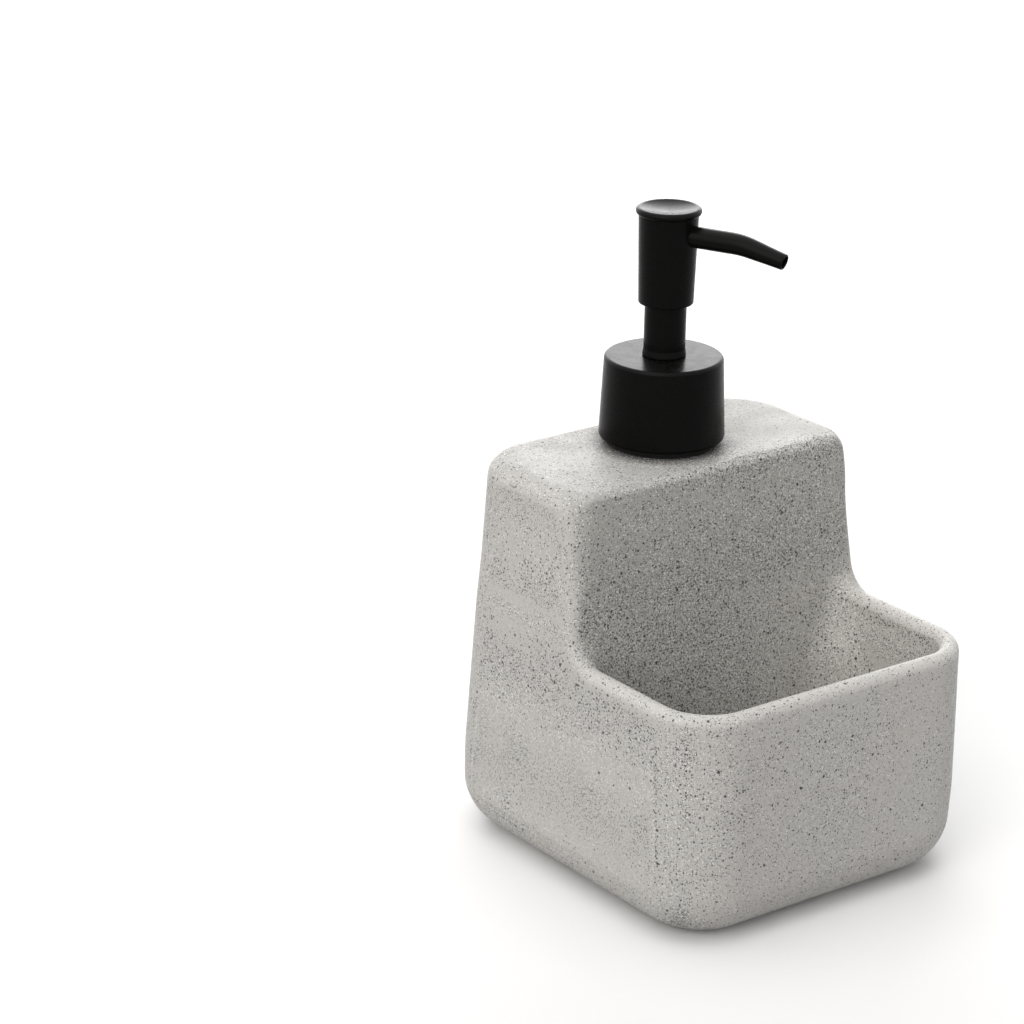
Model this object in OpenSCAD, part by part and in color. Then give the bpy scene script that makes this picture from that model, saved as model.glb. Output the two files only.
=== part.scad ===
// Soap pump caddy: a stoneware block with a soap reservoir in its tall rear tower, an open
// sponge tray in front of it, and a black lotion pump screwed on the tower.
// The front, with the tray, looks towards -Y. The table is z = 0.

/* [Stoneware outside] */
// Width of the body at its foot
body_w = 112; // [104:1:124]
// Depth of the body at its foot
body_d = 120.4; // [112:0.1:130]
// Height of the tower
body_h = 120.8; // [112:0.1:132]
// Height of the tray's rim
rim_h = 71.7; // [60:0.1:80]
// Plan radius of the upright corners
corner_r = 19.5; // [16:0.5:23]
// Rounding between the walls and the underside
foot_r = 14.5; // [8:0.5:15.5]
// Lean of the side walls, in degrees
side_draft = 0.8; // [0:0.1:1.5]
// Lean of the back wall, in degrees
back_draft = 4.4; // [0:0.1:5]
// Lean of the front wall, in degrees
front_draft = 0.1; // [0:0.1:1.5]
// Lean of the tower's front, in degrees
tower_draft = 2.6; // [1:0.1:5]
// Depth of the tower at its top
tower_top_d = 52.8; // [48:0.1:58]
// Plan radius of the tower's front corners at the top
tower_corner_r = 11; // [8:0.5:13]
// Rounding round the tower's top
top_edge_r = 4.5; // [3:0.5:5.5]
// Width of the rounded lip, which is the tray wall's thickness at the rim
lip_w = 6; // [5:0.5:7.5]
// How far the lip's bead stands out of the wall
lip_bead = 0.1; // [0.05:0.05:0.3]
// Hollow radius where the rim sweeps up into the tower
junction_r = 7; // [5:0.5:10]

/* [Stoneware inside] */
// Height of the tray's floor above the table
tray_floor = 9; // [7:0.5:14]
// Radius between the tray's floor and its walls
tray_floor_r = 8; // [5:0.5:8]
// Plan radius of the tray's inner corners at the front
tray_corner_r = 12; // [10:0.5:15]
// Plan radius of the tray's inner corners under the tower
tray_back_r = 8; // [8:0.5:12]
// Lean of the tray's inner walls, in degrees
tray_draft = 2.4; // [1:0.1:4]
// Thickness of the reservoir's walls
reservoir_wall = 5; // [4:0.5:6]
// Thickness over the reservoir, at the shoulder
reservoir_roof = 6.5; // [5:0.5:9]
// Thickness under the reservoir
reservoir_base = 7; // [5:0.5:9]
// Inside radius of the reservoir's corners
reservoir_r = 8; // [6:0.5:10]
// Radius of the mouth in the tower's top
mouth_r = 14.2; // [14:0.1:15]
// Depth of the recess under the body
recess_depth = 1.6; // [0.8:0.2:2.4]
// Width of the ring that stands on the table
foot_land = 6; // [4:0.5:9]

/* [Neck insert] */
// Thickness of the gasket under the insert's flange
insert_gasket_t = 0.6; // [0.4:0.1:1]
// Radius of the insert's flange
insert_flange_r = 16.8; // [16:0.1:16.9]
// Thickness of the insert's flange
insert_flange_t = 1.8; // [1.4:0.1:2.2]
// Radius of the insert's neck at the root of its thread
finish_r = 13.1; // [12.6:0.1:13.2]
// Height of the insert's neck over its flange
finish_h = 16; // [14:0.5:18]
// Radius of the insert's bore
insert_bore_r = 11.2; // [10.5:0.1:11.5]
// Depth of the insert's plug in the mouth
plug_h = 14; // [10:0.5:18]
// Glue gap round the plug
plug_gap = 0.25; // [0.1:0.05:0.4]

/* [Closure] */
// Radius of the collar at its lower edge
collar_r = 18.8; // [18.4:0.1:20]
// Radius of the collar at its upper edge
collar_top_r = 17.7; // [17.3:0.1:18.4]
// Gap between the stoneware and the collar
collar_gap = 2; // [1.6:0.1:2.4]
// Thickness of the collar's sheet metal wall
collar_wall = 1.1; // [0.9:0.1:1.2]
// Thickness of the collar's top
collar_roof = 2.35; // [1.8:0.05:3]
// Rounding of the collar's upper edge
collar_edge_r = 1; // [0.5:0.1:1.6]
// Height of the bevel at the collar's lower edge
collar_bevel = 0.9; // [0.5:0.1:1.4]
// Bore radius of the nut, over the neck's thread
nut_bore_r = 14; // [13.9:0.1:14.4]
// Thickness of the nut's top
nut_roof = 1.6; // [1.2:0.1:2]
// Gap between the nut and the collar round it
nut_fit = 0.15; // [0.1:0.05:0.3]
// Gap between the nut's top and the flange it holds down
nut_clear = 0.2; // [0.1:0.05:0.4]
// Thickness of the gasket between the neck and the pump
neck_gasket_t = 1; // [0.8:0.1:1.5]

/* [Pump housing] */
// Radius of the housing's flange
housing_flange_r = 12.8; // [12:0.1:13]
// Thickness of the housing's flange
housing_flange_t = 1.8; // [1.4:0.1:2.2]
// Inside radius of the housing's barrel
barrel_r = 6.6; // [6.4:0.05:7]
// Wall of the housing's barrel
barrel_wall = 1.1; // [0.9:0.1:1.3]
// Length of the barrel below its flange
barrel_h = 55; // [53:0.5:58]
// Thickness of the barrel's floor
barrel_floor = 2.2; // [1.8:0.1:2.8]
// Length of the socket that holds the dip tube
socket_h = 10; // [7:0.5:12]
// Wall of that socket
socket_wall = 1.2; // [0.9:0.1:1.5]
// Outside radius of the dip tube
dip_r = 3.5; // [3:0.1:4]
// Bore radius of the dip tube
dip_bore_r = 2.5; // [2:0.1:2.8]
// Slant of the dip tube's end, in degrees
dip_cut = 30; // [0:5:40]
// Gap between the dip tube's end and the reservoir's floor
dip_gap = 3.5; // [2:0.5:8]
// Radius of the inlet hole under the ball
inlet_r = 1.7; // [1.4:0.1:1.9]
// Radius of the inlet ball
ball_r = 2.5; // [2.3:0.1:2.7]
// How far the ball can lift
ball_lift = 1.4; // [1:0.1:2]
// Radius of the wire of the return spring
wire_r = 0.45; // [0.35:0.05:0.55]
// Mean radius of the return spring
spring_r = 4.5; // [4.3:0.1:4.8]
// Turns of the return spring
spring_turns = 7; // [5:1:8]
// Fit of one plastic piece pushed in another
push_fit = 0.05; // [0.02:0.01:0.1]

/* [Stem and piston] */
// Travel of the pump head
stroke = 13; // [10:0.5:13.2]
// Outside radius of the stem
stem_r = 3.2; // [3:0.1:3.4]
// Bore radius of the stem
stem_bore_r = 1.6; // [1.3:0.1:1.8]
// Gap round the stem in its guide
stem_fit = 0.06; // [0.02:0.01:0.09]
// Height of the piston
piston_h = 6.3; // [5.5:0.1:6.5]
// Free play of the piston on the stem
piston_play = 1.2; // [0.8:0.1:1.4]
// Gap between the piston's lips and the barrel
piston_fit = 0.05; // [0.02:0.01:0.09]
// Height of the guide above the piston's resting place
guide_gap = 1.5; // [1.3:0.1:2.5]
// Thickness of the guide's flange
guide_flange_t = 1.5; // [1.2:0.1:2]
// Outside radius of the guide's boss
guide_boss_r = 4.7; // [4.4:0.1:4.9]

/* [Neck and head] */
// Radius of the neck between the collar and the head
neck_r = 6.2; // [6:0.05:6.3]
// Radius of the neck's foot
neck_foot_r = 6.7; // [6.4:0.05:6.8]
// Height over which the neck's foot flares
neck_flare_h = 2.2; // [1.5:0.1:2.6]
// Length of neck that shows below the head
neck_show = 16; // [15.8:0.1:20]
// Length of neck that the head covers at rest
neck_cover = 3; // [2.5:0.5:5]
// Gap between the neck's foot and the collar
neck_clear = 0.2; // [0.1:0.05:0.3]
// Height of the head below its cap
head_h = 26.9; // [26.5:0.1:32]
// Radius of the head at its lower edge
head_r = 8.15; // [8.1:0.05:8.8]
// Radius of the head under its cap
head_top_r = 8.85; // [8.8:0.05:9.4]
// Rounding of the head's lower edge
head_edge_r = 1.1; // [0.6:0.1:1.1]
// Bore radius of the head
head_bore_r = 7; // [6.9:0.05:7]
// Radius of the cap on the head
cap_r = 9.7; // [9.4:0.05:10.4]
// Thickness of the cap's rolled rim
cap_t = 2.3; // [2:0.1:2.8]
// Depth of the dish in the cap
cap_dish = 1.1; // [0.6:0.1:1.3]
// Length of the cap's plug in the head
cap_plug_h = 1.2; // [0.8:0.1:1.4]
// Radius of the spout at the head
spout_r = 3.2; // [2.9:0.05:3.25]
// Radius of the spout at its tip
spout_tip_r = 2.4; // [2.2:0.05:2.6]
// Wall of the spout at its tip
spout_wall = 0.6; // [0.5:0.05:0.8]
// Distance of the spout's axis below the top of the head's shell
spout_drop = 5.6; // [5.2:0.1:6]
// Distance from the pump's axis to where the spout starts to bend
spout_straight = 20.5; // [18:0.5:24]
// Radius of the spout's bend
spout_bend_r = 28; // [20:1:40]
// Angle of the spout's bend, in degrees
spout_bend = 13; // [8:1:20]
// Length of the spout past its bend
spout_end = 11; // [8:0.5:14]
// Turn of the spout to the right of the front, in degrees
spout_turn = 24; // [-180:1:180]

/* [Hidden] */
// Overrun of the cuts
over = 1;
// Thickness of the thin discs that shape a hull
slip = 0.02;
// Facets of a rounded corner that shapes a hull
corner_fn = 32;
// Steps of a quarter round in a hull's corner
edge_steps = 5;
// Facets of turned pieces
turned_fn = 64;

// Height where the walls stop and the round lip starts
wall_top = rim_h - lip_w / 2;
// How far the tray is cut into the tower's front
tray_bite = 0.4;
// Plan radius of the tower's front corners low down, inside the block
tower_root_r = lip_w / 10;
// Half the width of the body at height z
function half_w(z) = body_w / 2 - max(z - foot_r, 0) * tan(side_draft);
// Back of the body at height z
function back_y(z) = body_d / 2 - max(z - foot_r, 0) * tan(back_draft);
// Front of the body at height z
function front_y(z) = -body_d / 2 + max(z - foot_r, 0) * tan(front_draft);
// Front of the tower at height z
function tower_y(z) = back_y(body_h) - tower_top_d - (body_h - z) * tan(tower_draft);
// Inside of the tray's side wall at height z
function tray_x(z) = half_w(wall_top) - lip_w + 2 * lip_bead - (wall_top - z) * tan(tray_draft);
// Inside of the tray's front wall at height z
function tray_y(z) = front_y(wall_top) + lip_w - 2 * lip_bead + (wall_top - z) * tan(tray_draft);

// The pump's axis, in the middle of the tower's top
pump_y = back_y(body_h) - tower_top_d / 2;
// Heights of the stack on the mouth, from the stoneware up
z_flange = body_h + insert_gasket_t;
z_finish = z_flange + insert_flange_t;
z_neck_rim = z_finish + finish_h;
z_housing = z_neck_rim + neck_gasket_t;
z_guide = z_housing + housing_flange_t;
z_nut_in = z_guide + guide_flange_t + nut_clear;
z_nut_top = z_nut_in + nut_roof;
z_collar_in = z_nut_top + nut_fit;
z_collar_top = z_collar_in + collar_roof;
z_collar = body_h + collar_gap;
z_nut = z_finish + nut_clear;
z_neck = z_collar_top + neck_clear;
z_head = z_neck + neck_show;
z_neck_top = z_head + neck_cover;
z_head_top = z_head + head_h;
z_spout = z_head_top - spout_drop;
// Heights inside the barrel, from its floor up
z_barrel = z_housing - barrel_h;
z_barrel_in = z_barrel + barrel_floor;
retainer_seat_gap = 0.1;
z_retainer = z_barrel_in + retainer_seat_gap;
seat_rise = 0.6;
ball_z = z_barrel_in - seat_rise + sqrt(ball_r * ball_r - inlet_r * inlet_r);
z_retainer_bar = ball_z + ball_r + ball_lift + retainer_seat_gap;
bar_t = 1;
z_spring = z_retainer_bar + bar_t;
// The guide's lower end, and the piston's resting place under it
guide_plug_h = 17;
z_guide_low = z_guide - guide_plug_h;
z_piston_top = z_guide_low - guide_gap - piston_play;
z_piston = z_piston_top - piston_h;
seat_t = 1.5;
z_spring_top = z_piston - seat_t;
pin_h = 5;
guide_pin_h = 6.5;
z_stem = z_piston_top + piston_play;
// The head's core, above the neck at full stroke
core_gap = 0.7;
z_core = z_neck_top + stroke + core_gap;
z_core_top = z_head_top - cap_plug_h - core_gap / 4;
z_stem_top = z_spout - stem_bore_r - push_fit;
spout_seat = 4.6;
// Sides of the spout's rings, and steps round its bend
spout_sides = 40;
bend_steps = 6;

// Points of an arc of radius r about [x, y] from angle a to angle b, in n steps
function arc(x, y, r, a, b, n) =
    [for (i = [0:n]) [x + r * cos(a + (b - a) * i / n), y + r * sin(a + (b - a) * i / n)]];

// Moves its children from the origin to the pump's axis
module on_axis(z = 0) {
    translate([0, pump_y, z]) children();
}

// A hollow turned ring
module ring(outer, inner, h) {
    difference() {
        cylinder(r = outer, h = h, $fn = turned_fn);
        translate([0, 0, -over]) cylinder(r = inner, h = h + 2 * over, $fn = turned_fn);
    }
}

// One corner of a hull: plan radius r, with its upper edge rounded by edge, or by -edge below
module corner(r, edge) {
    if (edge == 0) cylinder(r = r, h = slip, $fn = corner_fn);
    else mirror([0, 0, edge < 0 ? 1 : 0])
        rotate_extrude($fn = corner_fn)
            polygon(concat([[0, 0]], arc(r - abs(edge), 0, abs(edge), 0, 90, edge_steps),
                [[0, abs(edge)]]));
}

// Four corners at height z, x to each side, between yf and yb
module four_corners(z, x, yf, yb, rf, rb, edge) {
    for (side = [-1, 1]) {
        translate([side * (x - rf), yf + rf, z]) corner(rf, edge);
        translate([side * (x - rb), yb - rb, z]) corner(rb, edge);
    }
}

// The block from the underside to the foot of the lip
module lower_block() {
    hull() {
        four_corners(foot_r, half_w(foot_r), front_y(foot_r), back_y(foot_r), corner_r, corner_r, -foot_r);
        four_corners(wall_top, half_w(wall_top), front_y(wall_top), back_y(wall_top), corner_r, corner_r, 0);
    }
}

// The tower, from the tray's floor to the shoulder. Its front corners grow rounder above the lip
module tower() {
    z0 = tray_floor + foot_r;
    zm = rim_h + junction_r;
    z1 = body_h - top_edge_r;
    hull() {
        four_corners(z0, half_w(z0), tower_y(z0), back_y(z0), tower_root_r, corner_r, 0);
        four_corners(zm, half_w(zm), tower_y(zm), back_y(zm), lip_w / 2, corner_r, 0);
        four_corners(z1, half_w(z1), tower_y(z1), back_y(z1), tower_corner_r, corner_r, top_edge_r);
    }
}

// The space of the sponge tray
module tray_space() {
    z0 = tray_floor + tray_floor_r;
    z1 = wall_top + over;
    hull() {
        four_corners(z0, tray_x(z0), tray_y(z0), tower_y(z0) + tray_bite,
            tray_corner_r, tray_back_r, -tray_floor_r);
        four_corners(z1, tray_x(z1), tray_y(z1), tower_y(z1) + tray_bite,
            tray_corner_r, tray_back_r, 0);
    }
}

// The space of the soap reservoir
module reservoir_space() {
    z0 = reservoir_base + reservoir_r;
    z1 = body_h - reservoir_roof - reservoir_r;
    hull() {
        four_corners(z0, half_w(z0) - reservoir_wall, tower_y(z0) + reservoir_wall,
            back_y(z0) - reservoir_wall, reservoir_r, corner_r - reservoir_wall, -reservoir_r);
        four_corners(z1, half_w(z1) - reservoir_wall, tower_y(z1) + reservoir_wall,
            back_y(z1) - reservoir_wall, reservoir_r, corner_r - reservoir_wall, reservoir_r);
    }
}

// The round lip along the rim, and up the hollow at each end of it
module lip() {
    r = lip_w / 2;
    x = half_w(wall_top) - r + lip_bead;
    y = front_y(wall_top) + r - lip_bead;
    turn_r = corner_r - r;
    zc = rim_h + junction_r;
    yc = tower_y(zc) - junction_r / cos(tower_draft);
    translate([-x + turn_r, y, wall_top]) rotate([0, 90, 0])
        cylinder(r = r, h = 2 * (x - turn_r), $fn = turned_fn);
    for (side = [0, 1]) mirror([side, 0, 0]) {
        translate([x, y + turn_r, wall_top]) rotate([-90, 0, 0])
            cylinder(r = r, h = yc - y - turn_r, $fn = turned_fn);
        translate([x - turn_r, y + turn_r, wall_top])
            rotate([0, 0, -90])
                rotate_extrude(angle = 90, $fn = turned_fn)
                    translate([turn_r, 0]) circle(r = r, $fn = corner_fn);
        translate([x, yc, zc])
            rotate([0, 0, 90]) rotate([90, 0, 0]) rotate([0, 0, -90])
                rotate_extrude(angle = 90 - tower_draft, $fn = turned_fn)
                    translate([junction_r + r, 0]) circle(r = r, $fn = corner_fn);
    }
}

// The cheeks that fill the corner between the rim and the tower, under the lip's sweep
module cheeks() {
    r = lip_w / 2;
    zc = rim_h + junction_r;
    yc = tower_y(zc) - junction_r / cos(tower_draft);
    sweep = arc(yc, zc, junction_r + r, -90, -tower_draft, 2 * edge_steps);
    last = sweep[2 * edge_steps];
    for (side = [0, 1]) mirror([side, 0, 0])
        translate([half_w(wall_top) + lip_bead / 2 - lip_w + lip_bead, 0, 0])
            rotate([90, 0, 90])
                linear_extrude(lip_w - 2 * lip_bead)
                    polygon(concat([[yc, wall_top - over]], sweep,
                        [[last[0] + over, last[1]], [last[0] + over, wall_top - over]]));
}

// A rectangle with round corners, centred
module round_rect(w, d, r) {
    square([w - 2 * r, d], center = true);
    square([w, d - 2 * r], center = true);
    for (sx = [-1, 1], sy = [-1, 1])
        translate([sx * (w / 2 - r), sy * (d / 2 - r)]) circle(r = r, $fn = turned_fn);
}

// The fired stoneware body
module ceramic_body() {
    inset = foot_r + foot_land;
    color("gainsboro") difference() {
        union() {
            difference() {
                lower_block();
                tray_space();
            }
            tower();
            lip();
            cheeks();
        }
        reservoir_space();
        on_axis(body_h - reservoir_roof - over)
            cylinder(r = mouth_r, h = reservoir_roof + 2 * over, $fn = turned_fn);
        translate([0, 0, -over])
            linear_extrude(recess_depth + over)
                round_rect(body_w - 2 * inset, body_d - 2 * inset, corner_r / 2);
    }
}

// Threaded neck that is glued in the mouth
module neck_insert() {
    color("dimgray") on_axis() difference() {
        union() {
            translate([0, 0, z_flange - plug_h])
                cylinder(r = mouth_r - plug_gap, h = plug_h, $fn = turned_fn);
            translate([0, 0, z_flange]) cylinder(r = insert_flange_r, h = insert_flange_t, $fn = turned_fn);
            translate([0, 0, z_finish]) cylinder(r = finish_r, h = finish_h, $fn = turned_fn);
        }
        translate([0, 0, z_flange - plug_h - over])
            cylinder(r = insert_bore_r, h = plug_h + insert_flange_t + finish_h + 2 * over, $fn = turned_fn);
    }
}

// Soft ring between the insert's flange and the stoneware
module insert_gasket() {
    color("black") on_axis(body_h) ring(insert_flange_r - nut_clear, mouth_r + plug_gap, insert_gasket_t);
}

// Soft ring between the neck's rim and the pump's flange
module neck_gasket() {
    color("black") on_axis(z_neck_rim) ring(finish_r - nut_clear, insert_bore_r, neck_gasket_t);
}

// Inside radius of the collar at height z
function collar_in(z) = collar_r - collar_wall
    - (z - z_collar) * (collar_r - collar_top_r) / (z_collar_top - z_collar);

// Screw cap inside the collar, which pulls the pump down on the neck
module closure_nut() {
    color("dimgray") on_axis() difference() {
        rotate_extrude($fn = turned_fn) polygon([
            [0, z_nut], [collar_in(z_nut) - nut_fit, z_nut],
            [collar_in(z_nut_top) - nut_fit, z_nut_top], [0, z_nut_top]]);
        translate([0, 0, z_nut - over])
            cylinder(r = nut_bore_r, h = z_nut_in - z_nut + over, $fn = turned_fn);
        translate([0, 0, z_nut_in - over])
            cylinder(r = guide_boss_r + nut_clear, h = nut_roof + 2 * over, $fn = turned_fn);
    }
}

// Metal cover over the screw cap
module collar_sleeve() {
    e = collar_edge_r;
    color([0.1, 0.1, 0.1]) on_axis() difference() {
        rotate_extrude($fn = turned_fn) polygon(concat(
            [[0, z_collar], [collar_r - collar_bevel / 2, z_collar], [collar_r, z_collar + collar_bevel]],
            arc(collar_top_r - e, z_collar_top - e, e, 0, 90, edge_steps),
            [[0, z_collar_top]]));
        rotate_extrude($fn = turned_fn) polygon([
            [0, z_collar - over], [collar_in(z_collar - over), z_collar - over],
            [collar_in(z_collar_in), z_collar_in], [0, z_collar_in]]);
        translate([0, 0, z_collar_in - over])
            cylinder(r = guide_boss_r + nut_clear, h = collar_roof + 2 * over, $fn = turned_fn);
    }
}

// Metal tube that shows between the collar and the head
module neck_sleeve() {
    foot_edge = neck_flare_h / 4;
    color([0.1, 0.1, 0.1]) on_axis() difference() {
        rotate_extrude($fn = turned_fn) polygon([
            [0, z_neck], [neck_foot_r - foot_edge / 2, z_neck], [neck_foot_r, z_neck + foot_edge],
            [neck_foot_r, z_neck + neck_flare_h / 2], [neck_r, z_neck + neck_flare_h],
            [neck_r, z_neck_top - foot_edge], [neck_r - foot_edge, z_neck_top], [0, z_neck_top]]);
        translate([0, 0, z_neck - over])
            cylinder(r = guide_boss_r + push_fit, h = z_neck_top - z_neck + 2 * over, $fn = turned_fn);
    }
}

// Plastic guide that closes the barrel, with the bore in which the stem slides
module stem_guide() {
    color("ivory") on_axis() difference() {
        union() {
            translate([0, 0, z_guide_low])
                cylinder(r = barrel_r - push_fit, h = guide_plug_h, $fn = turned_fn);
            translate([0, 0, z_guide])
                cylinder(r = housing_flange_r - nut_clear, h = guide_flange_t, $fn = turned_fn);
            translate([0, 0, z_guide])
                cylinder(r = guide_boss_r, h = z_neck_top - core_gap - z_guide, $fn = turned_fn);
        }
        translate([0, 0, z_guide_low - over])
            cylinder(r = stem_r + stem_fit, h = z_neck_top - z_guide_low + 2 * over, $fn = turned_fn);
    }
}

// Plastic barrel with its flange, its inlet and the dip tube's socket
module pump_housing() {
    socket_r = dip_r + push_fit;
    color("ivory") on_axis() difference() {
        union() {
            translate([0, 0, z_housing])
                cylinder(r = housing_flange_r, h = housing_flange_t, $fn = turned_fn);
            translate([0, 0, z_barrel])
                cylinder(r = barrel_r + barrel_wall, h = barrel_h + over, $fn = turned_fn);
            translate([0, 0, z_barrel - socket_h])
                cylinder(r = socket_r + socket_wall, h = socket_h + over, $fn = turned_fn);
        }
        translate([0, 0, z_barrel_in])
            cylinder(r = barrel_r, h = barrel_h + housing_flange_t, $fn = turned_fn);
        translate([0, 0, z_barrel - over])
            cylinder(r = inlet_r, h = barrel_floor + 2 * over, $fn = turned_fn);
        translate([0, 0, z_barrel_in - seat_rise])
            cylinder(r1 = inlet_r, r2 = inlet_r + seat_rise + over, h = seat_rise + over, $fn = turned_fn);
        translate([0, 0, z_barrel - socket_h - over])
            cylinder(r = socket_r, h = socket_h + over, $fn = turned_fn);
    }
}

// Plastic tube from the barrel to the bottom of the reservoir, cut slantwise at its end
module dip_tube() {
    low = reservoir_base + dip_gap;
    top = z_barrel - push_fit;
    color("white") on_axis(low) difference() {
        ring(dip_r, dip_bore_r, top - low);
        rotate([0, dip_cut, 0]) translate([-2 * dip_r, -2 * dip_r, -4 * dip_r])
            cube([4 * dip_r, 4 * dip_r, 4 * dip_r]);
    }
}

// Cage that keeps the ball on its seat and carries the spring
module ball_retainer() {
    inner = ball_r + ball_lift / 3;
    outer = inner + bar_t;
    flange_r = barrel_r - 3 * push_fit;
    color("ivory") on_axis() difference() {
        union() {
            translate([0, 0, z_retainer]) cylinder(r = outer, h = z_spring - z_retainer, $fn = turned_fn);
            translate([0, 0, z_retainer_bar]) cylinder(r = flange_r, h = bar_t, $fn = turned_fn);
        }
        translate([0, 0, z_retainer - over])
            cylinder(r = inner, h = z_retainer_bar - z_retainer + over, $fn = turned_fn);
        for (turn = [0, 90, 180, 270]) rotate([0, 0, turn]) {
            translate([bar_t, bar_t, z_retainer_bar - over]) cube([inner / 2, inner / 2, bar_t + 2 * over]);
            translate([inner / 2, -bar_t, z_retainer + bar_t])
                cube([outer, 2 * bar_t, z_retainer_bar - z_retainer - 2 * bar_t]);
        }
    }
}

// Steel ball that lets soap in and not out
module inlet_ball() {
    color("silver") on_axis(ball_z) sphere(r = ball_r, $fn = turned_fn);
}

// Steel coil spring that lifts the stem
module return_spring() {
    per_turn = 16;
    sides = 6;
    rings = spring_turns * per_turn;
    low = z_spring + wire_r;
    rise = z_spring_top - wire_r - low;
    points = [for (i = [0:rings], k = [0:sides - 1])
        let (a = 360 * i / per_turn, b = 360 * k / sides, r = spring_r + wire_r * cos(b))
            [r * cos(a), r * sin(a), low + rise * i / rings + wire_r * sin(b)]];
    faces = concat(
        [[for (k = [0:sides - 1]) k]],
        [for (i = [0:rings - 1], k = [0:sides - 1])
            let (a = i * sides + k, b = i * sides + (k + 1) % sides) [a, a + sides, b]],
        [for (i = [0:rings - 1], k = [0:sides - 1])
            let (a = i * sides + k, b = i * sides + (k + 1) % sides) [b, a + sides, b + sides]],
        [[for (k = [sides - 1:-1:0]) rings * sides + k]]);
    echo(least_gap_between_curls = rise / spring_turns - 2 * wire_r);
    color("silver") on_axis() polyhedron(points = points, faces = faces);
}

// Seat under the piston: a flange on the spring, a neck through the piston and a plug in the stem
module lower_stem() {
    rod_r = spring_r - wire_r - 2 * push_fit - stem_fit;
    plug_r = stem_bore_r - push_fit / 2;
    passage = 3 * plug_r / 5;
    plug_h = z_stem + pin_h - z_piston;
    color("ivory") on_axis() {
        translate([0, 0, z_spring_top - guide_pin_h]) cylinder(r = rod_r, h = guide_pin_h, $fn = turned_fn);
        translate([0, 0, z_spring_top]) cylinder(r = spring_r + wire_r, h = seat_t, $fn = turned_fn);
        translate([0, 0, z_piston - over]) difference() {
            cylinder(r = plug_r, h = plug_h + over, $fn = turned_fn);
            for (side = [-1, 1]) translate([side * (passage + plug_r), 0, plug_h / 2 + 2 * over])
                cube([2 * plug_r, 2 * plug_r, plug_h], center = true);
        }
    }
}

// Plastic piston with a lip at each end, which slides in the barrel
module piston() {
    lip_r = barrel_r - piston_fit;
    waist_r = lip_r - barrel_wall;
    lip_h = piston_h / 5;
    inner = stem_bore_r + 8 * stem_fit;
    color("white") on_axis(z_piston) difference() {
        rotate_extrude($fn = turned_fn) polygon([
            [inner, push_fit], [waist_r, push_fit], [lip_r, push_fit + lip_h / 4], [lip_r, lip_h],
            [waist_r, 2 * lip_h], [waist_r, piston_h - 2 * lip_h], [lip_r, piston_h - lip_h],
            [lip_r, piston_h - push_fit], [inner, piston_h - push_fit]]);
        rotate_extrude($fn = turned_fn) polygon([
            [stem_r + stem_fit, piston_h], [waist_r - stem_fit * 8, piston_h],
            [waist_r - stem_fit * 8, piston_h - lip_h], [stem_r + stem_fit, piston_h - lip_h]]);
    }
}

// Hollow stem that carries the head
module stem() {
    color("white") on_axis(z_stem) ring(stem_r, stem_bore_r, z_stem_top - z_stem);
}

// Places its children with the spout's direction along +X, at the spout's height
module along_spout() {
    on_axis(z_spout) rotate([0, 0, spout_turn - 90]) children();
}

// Plastic core of the head: stem socket, passage and spout seat
module head_core() {
    r = head_bore_r - push_fit;
    color("dimgray") difference() {
        on_axis(z_core) cylinder(r = r, h = z_core_top - z_core, $fn = turned_fn);
        on_axis(z_core - over)
            cylinder(r = stem_r + push_fit, h = z_stem_top - z_core + over, $fn = turned_fn);
        on_axis(z_core) cylinder(r = stem_bore_r, h = z_spout - z_core, $fn = turned_fn);
        along_spout() rotate([0, 90, 0]) cylinder(r = stem_bore_r, h = head_bore_r, $fn = turned_fn);
        along_spout() translate([spout_seat - push_fit, 0, 0]) rotate([0, 90, 0])
            cylinder(r = spout_r + push_fit, h = head_bore_r, $fn = turned_fn);
    }
}

// Metal shell of the head
module head_shell() {
    e = head_edge_r;
    color([0.1, 0.1, 0.1]) difference() {
        on_axis() rotate_extrude($fn = turned_fn) polygon(concat(
            [[0, z_head]],
            arc(head_r - e, z_head + e, e, -90, 0, edge_steps),
            [[head_top_r, z_head_top], [0, z_head_top]]));
        on_axis(z_head - over) cylinder(r = head_bore_r, h = head_h + 2 * over, $fn = turned_fn);
        along_spout() rotate([0, 90, 0])
            cylinder(r = spout_r + push_fit, h = 2 * head_top_r, $fn = turned_fn);
    }
}

// Dished cap with a rolled rim, where the finger presses
module head_cap() {
    bead_r = cap_t / 2;
    bead_x = cap_r - bead_r;
    dish_r = bead_x - bead_r / 2;
    color([0.1, 0.1, 0.1]) on_axis(z_head_top) union() {
        rotate_extrude($fn = turned_fn) polygon(concat(
            [[0, -cap_plug_h], [head_bore_r - push_fit, -cap_plug_h], [head_bore_r - push_fit, 0],
                [head_top_r - bead_r / 2, 0]],
            arc(bead_x, bead_r, bead_r, -60, 110, 2 * edge_steps),
            [for (i = [1:2 * edge_steps])
                let (x = dish_r * (1 - i / (2 * edge_steps)))
                    [x, cap_t - bead_r / 8 - cap_dish * (1 - x * x / (dish_r * dish_r))]]));
    }
}

// Points on the spout's axis, each with the angle of its direction and the spout's radius there
function spout_axis() = concat(
    [[spout_seat, 0, 0, spout_r]],
    [for (i = [0:bend_steps]) let (a = spout_bend * i / bend_steps)
        [spout_straight + spout_bend_r * sin(a), -spout_bend_r * (1 - cos(a)), a, spout_r]],
    [[spout_straight + spout_bend_r * sin(spout_bend) + spout_end * cos(spout_bend),
        -spout_bend_r * (1 - cos(spout_bend)) - spout_end * sin(spout_bend), spout_bend, spout_tip_r]]);

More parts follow.
